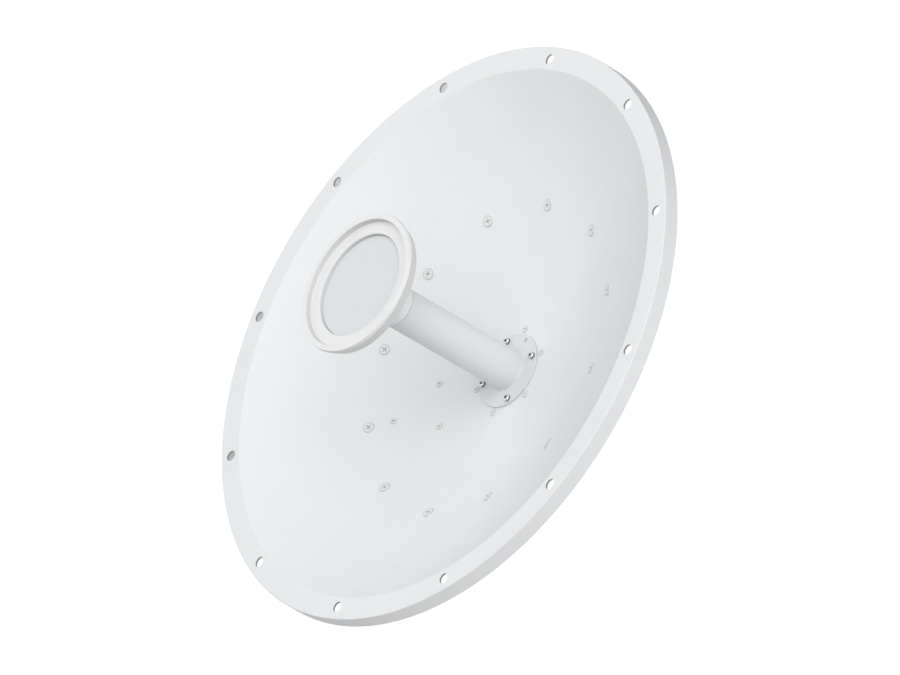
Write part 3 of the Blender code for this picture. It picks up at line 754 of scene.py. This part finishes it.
def feed_flange():
    """Thin flange with a rounded edge and a small round hole, and its weld to the tube."""
    clear = 0.00005
    back, front = FLAT_Z + clear, FLAT_Z + GAP + FLANGE_SHEET
    bore_r = TUBE_R + clear
    weld, soft, broken = 0.0006, 0.0005, 0.0002
    profile = [(bore_r, front + weld), (bore_r + weld, front)]
    profile += arc((FLANGE_R - soft, front - soft), soft, 90, 0, 4)
    profile += [(FLANGE_R, back + broken), (FLANGE_R - broken, back), (bore_r, back)]
    mesh = turned(profile, DISC_STEPS, closed=True)
    r = FLANGE_BOLT_CIRCLE_R
    middle = Vector((r * math.cos(SIGHT_HOLE_ANGLE), r * math.sin(SIGHT_HOLE_ANGLE), front))
    hole = prisms([(middle, FRONT)], SIGHT_HOLE_R, SIGHT_CUTTER_LENGTH, SIGHT_HOLE_STEPS)
    piece("feed_flange_fine", combined(mesh, "DIFFERENCE", hole), "feed_white", "feed_flange")


def feed_nose():
    """Moulded nose: spigot, collar and a smooth flare behind the head."""
    spigot_r = TUBE_BORE_R - GAP
    seam = TUBE_FRONT + GAP
    front = HEAD_BACK - GAP
    rim = front - 0.002
    soft, broken = 0.0004, 0.0003
    count = 16
    profile = [(0, front), (NOSE_FLARE_R - soft, front), (NOSE_FLARE_R, front - soft)]
    for i in range(count + 1):
        angle = math.pi / 2 * i / count
        r = NOSE_FLARE_R - (NOSE_FLARE_R - TUBE_R) * math.sin(angle)
        profile.append((r, NOSE_STRAIGHT_END + (rim - NOSE_STRAIGHT_END) * math.cos(angle)))
    profile += [(TUBE_R, seam + broken), (TUBE_R - broken, seam), (spigot_r, seam)]
    profile += [(spigot_r, seam - NOSE_SPIGOT), (0, seam - NOSE_SPIGOT)]
    piece("feed_nose_fine", turned(profile, TUBE_STEPS), "head_white", "feed_nose")


def feed_head():
    """Stepped disc: raised flat edge, steep lip, wall that tapers back, recess for the cover."""
    floor = COVER_FRONT - COVER_SHEET - GAP
    edge, soft, crisp, back_soft = 0.0005, 0.0003, 0.0001, 0.0002
    profile = [(0, floor), (STEP_R, floor)]
    profile += arc((STEP_R + soft, STEP_FLOOR - soft), soft, 180, 90, 3)
    profile += [(BEAD_FOOT_R - soft, STEP_FLOOR), (BEAD_FOOT_R, STEP_FLOOR + soft)]
    profile += [(BEAD_INNER_R, HEAD_FRONT - crisp), (BEAD_INNER_R + crisp, HEAD_FRONT)]
    profile += arc((HEAD_FRONT_R - edge, HEAD_FRONT - edge), edge, 90, 0, 5)
    profile += [(HEAD_R, HEAD_LIP_BACK + crisp), (HEAD_R - crisp, HEAD_LIP_BACK)]
    profile += [(HEAD_BACK_R + back_soft, HEAD_BACK + soft), (HEAD_BACK_R - soft, HEAD_BACK)]
    profile += [(0, HEAD_BACK)]
    piece("feed_head_fine", turned(profile, HEAD_STEPS), "head_white", "feed_head")


def head_cover():
    """Plain plate let into the head."""
    cover_r = STEP_R - GAP
    soft = 0.0004
    profile = [(0, COVER_FRONT), (cover_r * 0.5, COVER_FRONT)]
    profile += arc((cover_r - soft, COVER_FRONT - soft), soft, 90, 0, 3)
    profile += [(cover_r, COVER_FRONT - COVER_SHEET), (0, COVER_FRONT - COVER_SHEET)]
    piece("head_cover_fine", turned(profile, DISC_STEPS), "cover_grey", "head_cover")


def socket_z():
    """Distance of the two sockets from the rim plane."""
    return HUB_FRONT - HUB_DEPTH + SOCKET_FROM_HUB_BACK


def feed_hub():
    """Cast cup with its flange, fillet and two bosses."""
    back = HUB_FRONT - HUB_DEPTH
    step = HUB_FRONT - HUB_FLANGE_SHEET
    soft, round_r, fillet = 0.0006, 0.0008, 0.002
    profile = [(0, HUB_FRONT), (HUB_FLANGE_R - soft, HUB_FRONT)]
    profile += arc((HUB_FLANGE_R - round_r, step + round_r), round_r, 0, -90, 3)
    profile += arc((HUB_BODY_R + fillet, step - fillet), fillet, 90, 180, 4)
    profile += arc((HUB_BODY_R - fillet, back + fillet), fillet, 0, -90, 4)
    profile += [(0, back)]
    mesh = turned(profile, TUBE_STEPS)
    start_r = HUB_BODY_R - 0.004
    length = SOCKET_SEAT_R - start_r
    places = []
    for angle in SOCKET_ANGLES.values():
        outward = Vector((math.cos(angle), math.sin(angle), 0))
        places.append((outward * (start_r + length / 2) + FRONT * socket_z(), outward))
    bosses = prisms(places, SOCKET_BOSS_R, length, SCREW_STEPS, BOSS_SPIN)
    piece("feed_hub_fine", combined(mesh, "UNION", bosses), "cast_aluminium", "feed_hub")


def cable_socket(side):
    """Coaxial socket under a knurled dust cap."""
    cap_r, cap_top, cap_foot = 0.0088, 0.0160, 0.0060
    neck_r, collar_r, collar_h = 0.0070, 0.0084, 0.0030
    profile = [
        (0, cap_top),
        (0.0060, cap_top),
        (0.0064, 0.0157),
        (0.0080, 0.0157),
        (cap_r, 0.0148),
        (cap_r, 0.0066),
        (0.0083, cap_foot),
        (neck_r, cap_foot),
        (neck_r, collar_h),
        (0.0082, collar_h),
        (collar_r, 0.0028),
        (collar_r, 0),
        (0, 0),
    ]
    mesh = turned(profile, TUBE_STEPS)
    knurl_top, knurl_r = 0.015, 0.0085
    groove_every, groove_scale = 4, 0.955
    for vert in mesh.vertices:
        step = round(math.atan2(vert.co.y, vert.co.x) / (2 * math.pi) * TUBE_STEPS)
        on_knurl = cap_foot < vert.co.z < knurl_top and math.hypot(*vert.co.xy) > knurl_r
        if step % groove_every == 0 and on_knurl:
            vert.co.x *= groove_scale
            vert.co.y *= groove_scale
    angle = SOCKET_ANGLES[side]
    outward = Vector((math.cos(angle), math.sin(angle), 0))
    turn = outward.to_track_quat("Z", "Y").to_matrix().to_4x4()
    seat = outward * (SOCKET_SEAT_R + GAP) + FRONT * socket_z()
    mesh.transform(Matrix.Translation(seat) @ turn)
    piece("cable_socket_" + side + "_fine", mesh, "nickel", "cable_socket_" + side)


def cross_recess(head_r, top, width, depth):
    """Cutter for a cross recess in a screw's head, narrower at its foot."""
    reach, half = head_r * CROSS_REACH, width / 2
    quarter = [(reach, -half), (reach, half), (half, half)]
    corners = 4 * len(quarter)
    shape = bmesh.new()
    rings = []
    for z, scale in ((top + depth, 1.0), (top - depth, CROSS_FOOT_SCALE)):
        ring = []
        for turn in range(4):
            spin = Matrix.Rotation(turn * math.pi / 2, 3, "Z")
            for x, y in quarter:
                ring.append(shape.verts.new(spin @ Vector((x * scale, y * scale, z))))
        rings.append(ring)
    upper, lower = rings
    shape.faces.new(upper)
    shape.faces.new(reversed(lower))
    for i in range(corners):
        j = (i + 1) % corners
        shape.faces.new((upper[i], lower[i], lower[j], upper[j]))
    return to_mesh(shape)


def screw_head(head_r, head_h, crown, cross):
    """Pan head with a cross recess, its seat just clear of z = 0; crown is its top's bulge."""
    seat = 0.00005
    top = GAP + head_h
    turn_r = head_h * 0.45
    shoulder_r = head_r - turn_r
    shoulder_z = top - crown
    count = 4
    profile = [(shoulder_r * i / count, top - crown * (i / count) ** 2) for i in range(count)]
    profile += arc((shoulder_r, shoulder_z - turn_r), turn_r, 90, 0, 5)
    profile += [(head_r, seat), (0, seat)]
    mesh = turned(profile, SCREW_STEPS)
    return combined(mesh, "DIFFERENCE", cross_recess(head_r, top, *cross))


def hex_nut(seat, height, radius):
    """Six-sided nut below z = seat, its corners turned off."""
    sides = 6
    block = prisms([(Vector((0, 0, seat - height / 2)), FRONT)], radius, height, sides)
    beyond, back = radius * 1.01, seat - height
    front_flat_r, front_turned = radius * 0.93, radius * 0.06
    back_flat_r, back_turned = radius * 0.90, radius * 0.08
    chamfer = [
        (0, seat),
        (front_flat_r, seat),
        (beyond, seat - front_turned),
        (beyond, back + back_turned),
        (back_flat_r, back),
        (0, back),
    ]
    return combined(block, "INTERSECT", turned(chamfer, SCREW_STEPS))


def threaded(radius, top, bottom, pitch):
    """Rod with thread ridges from top down to bottom."""
    root_r, end_r = radius * 0.86, radius * 0.80
    profile = [(0, top)]
    for i in range(int((top - bottom) / pitch)):
        z = top - i * pitch
        profile += [(root_r, z - pitch * 0.1), (radius, z - pitch * 0.5)]
    profile += [(end_r, bottom), (0, bottom)]
    return turned(profile, THREAD_STEPS)


def screws():
    """Every screw: a crossed pan head in front and, on the ring, a nut and thread behind."""
    ring_back = -(SHEET + GAP + RING_SHEET + GAP)
    foot_back = ring_back - CHANNEL_SHEET - GAP
    big = screw_head(RING_HEAD_R, PAINTED_HEAD_H, LOW_CROWN, RING_CROSS)
    ring_meshes = {}
    for kind, seat in (("ring", ring_back), ("foot", foot_back)):
        nut = hex_nut(seat, NUT_H, NUT_CORNER_R)
        start, end = seat - NUT_H + THREAD_START, seat - THREAD_END
        thread = threaded(THREAD_R, start, end, THREAD_PITCH)
        ring_meshes[kind] = smoothed(joined(big, nut, thread))
    ring_places = around(RING_R, len(RING_SCREW_SPINS))
    for i, ((x, y), spin) in enumerate(zip(ring_places, RING_SCREW_SPINS)):
        kind = "foot" if abs(x) < FOOT_HALF_SPAN else "ring"
        node = f"ring_screw_{i + 1:02d}"
        place_screw(node, ring_meshes[kind], on_bowl(x, y), "screw_white", spin)
    small = smoothed(screw_head(SMALL_HEAD_R, PAINTED_HEAD_H, LOW_CROWN, SMALL_CROSS))
    hub_places = around(HUB_SCREW_CIRCLE_R, len(HUB_SCREW_SPINS))
    for i, ((x, y), spin) in enumerate(zip(hub_places, HUB_SCREW_SPINS)):
        place_screw(f"hub_screw_{i + 1}", small, on_bowl(x, y), "screw_white", spin)
    for key, spin in PAD_SCREW_SPINS.items():
        place_screw("pad_screw_" + key, small, on_bowl(*PAD_SCREWS[key]), "screw_white", spin)
    bolt = smoothed(screw_head(BOLT_HEAD_R, BOLT_HEAD_H, BOLT_CROWN, BOLT_CROSS))
    for i, (x, y) in enumerate(around(FLANGE_BOLT_CIRCLE_R, FLANGE_BOLTS)):
        seat = Vector((x, y, FLAT_Z + GAP + FLANGE_SHEET))
        place_screw(f"flange_bolt_{i + 1}", bolt, (seat, FRONT), "bolt_steel", FLANGE_BOLT_SPIN)
    # The same shape in a mesh of its own, because its finish differs
    rail = small.copy()
    for key, side in (("top", 1), ("bottom", -1)):
        seat = Vector((RAIL_SCREW_X, side * RAIL_SCREW_Y, PAD_BACK - GAP - RAIL_SHEET))
        place_screw("rail_screw_" + key, rail, (seat, -FRONT), "bolt_steel", RAIL_SCREW_SPIN)


def place_screw(node, mesh, where, slot, spin):
    """A screw's piece on (seat, direction), its cross turned by spin degrees from the radius."""
    seat, direction = where
    across = direction.cross(Vector((seat.x, seat.y, 0))).normalized()
    turn = Matrix((across.cross(direction), across, direction)).transposed().to_4x4()
    turn = turn @ Matrix.Rotation(math.radians(spin), 4, "Z")
    piece(node + "_fine", mesh, slot, node, IN_PLACE @ Matrix.Translation(seat) @ turn)


# Pieces with the solids' own shapes: their finish, and the width of their rounded edges
PRESSED = {
    "mount_bracket": ("galvanised", 0.0008),
    "bracket_foot_upper": ("galvanised", 0.0006),
    "bracket_foot_lower": ("galvanised", 0.0006),
    "radio_pad": ("grey_plastic", 0.0012),
    "radio_rail": ("galvanised", 0.0004),
}


def pressed(frame, node, slot, width):
    """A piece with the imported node's shape and rounded edges."""
    mesh = bevelled(frame["nodes"][node].data.copy(), width)
    piece(node + "_fine", mesh, slot, node, Matrix.Identity(4))


# Light and camera

# Direction and strength of each soft panel of light, all the same size
SOFT_PANELS = {
    "front_right": ((0.6, -0.8, 0.0), 1.43),
    "low_front_right": ((0.7, -0.5, -0.45), 1.17),
    "low_right": ((0.85, 0.0, -0.5), 0.41),
    "low_front": ((-0.3, -0.85, -0.45), 0.46),
    "high_front_left": ((-0.7, -0.5, 0.45), 1.12),
    "high_front": ((0.2, -0.5, 0.85), 0.20),
    "low_back": ((-0.3, 0.85, -0.45), 1.80),
    "low_back_right": ((0.7, 0.5, -0.45), 0.15),
    "high_back_right": ((0.7, 0.5, 0.5), 0.35),
}
BACKDROP = (-1, 1, 1)
BACKDROP_LEVEL = 1.06

# Cosines of the angles at which a panel and the backdrop fade out
PANEL_EDGE = 0.62
BACKDROP_EDGE = 0.80

FLOOR_Z = -1.75
FLOOR_R = 1.3
FLOOR_SHEET = 0.02

# The photo's scale and width in pixels, and how far its middle lies right of the rim's middle
# and below it
PIXELS_PER_METRE = 969.1
IMAGE_WIDTH_PX = 900
MIDDLE_RIGHT_PX = 6.5
MIDDLE_BELOW_PX = 4.4
CAMERA_DISTANCE = 1.6


def lobe(tree, direction, toward, edge, level):
    """A soft patch of the sky round a direction, from 0 at its edge to level in its middle."""
    inputs = {0: direction, 1: Vector(toward).normalized()}
    dot = wire(tree, "ShaderNodeVectorMath", inputs, operation="DOT_PRODUCT").outputs["Value"]
    inputs = {"Value": dot, "From Min": edge, "From Max": 1.0, "To Min": 0.0, "To Max": level}
    soft = wire(tree, "ShaderNodeMapRange", inputs, interpolation_type="SMOOTHSTEP")
    return soft.outputs["Result"]


def studio():
    """Soft panels round the object, over a pale floor."""
    world = bpy.data.worlds.new("studio")
    world.use_nodes = True
    bpy.context.scene.world = world
    tree = world.node_tree
    direction = tree.nodes.new("ShaderNodeTexCoord").outputs["Generated"]
    level = lobe(tree, direction, BACKDROP, BACKDROP_EDGE, BACKDROP_LEVEL)
    for toward, strength in SOFT_PANELS.values():
        panel = lobe(tree, direction, toward, PANEL_EDGE, strength)
        level = calc(tree, "ADD", level, panel)
    shade = tree.nodes["Background"]
    shade.inputs["Color"].default_value = (1.0, 1.0, 1.0, 1.0)
    tree.links.new(level, shade.inputs["Strength"])

    middle = Vector((0, -MOUNT_BEHIND_RIM, FLOOR_Z))
    disc = prisms([(middle, FRONT)], FLOOR_R, FLOOR_SHEET, FLOOR_STEPS)
    floor = bpy.data.objects.new("floor", disc)
    bpy.context.scene.collection.objects.link(floor)
    made, tree, shader, place = blank("floor_paint", metallic=0.0)
    clouds = noise(tree, place, scale=1.5, detail=3.0)
    tone = blended(tree, ranged(tree, clouds, 0, 1), FLOOR_PALE, FLOOR_DULL)
    tree.links.new(tone, shader.inputs["Base Color"])
    shader.inputs["Roughness"].default_value = 0.8
    floor.data.materials.append(made)


def camera():
    """Parallel view along a cube's diagonal, from below and from the dish's left hand."""
    back = Vector((1, -1, -1)).normalized()
    right = Vector((1, 1, 0)).normalized()
    up = back.cross(right)
    rim_centre = Vector((0, -MOUNT_BEHIND_RIM, 0))
    aim = rim_centre + (MIDDLE_RIGHT_PX * right - MIDDLE_BELOW_PX * up) / PIXELS_PER_METRE
    data = bpy.data.cameras.new("camera")
    data.type = "ORTHO"
    data.ortho_scale = IMAGE_WIDTH_PX / PIXELS_PER_METRE
    data.clip_start = 0.05
    data.clip_end = 20.0
    cam = bpy.data.objects.new("camera", data)
    cam.location = aim + CAMERA_DISTANCE * back
    cam.rotation_euler = Matrix((right, up, back)).transposed().to_euler()
    bpy.context.scene.collection.objects.link(cam)
    bpy.context.scene.camera = cam


def main():
    """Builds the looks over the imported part."""
    for old in list(bpy.data.objects):
        bpy.data.objects.remove(old)
    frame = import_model()
    camera()
    studio()
    reflector()
    backing_ring()
    feed_tube()
    feed_flange()
    feed_nose()
    feed_head()
    head_cover()
    feed_hub()
    for side in SOCKET_ANGLES:
        cable_socket(side)
    screws()
    for node, (slot, width) in PRESSED.items():
        pressed(frame, node, slot, width)
    view = bpy.context.scene.view_settings
    view.view_transform = "Standard"
    view.look = "None"


main()
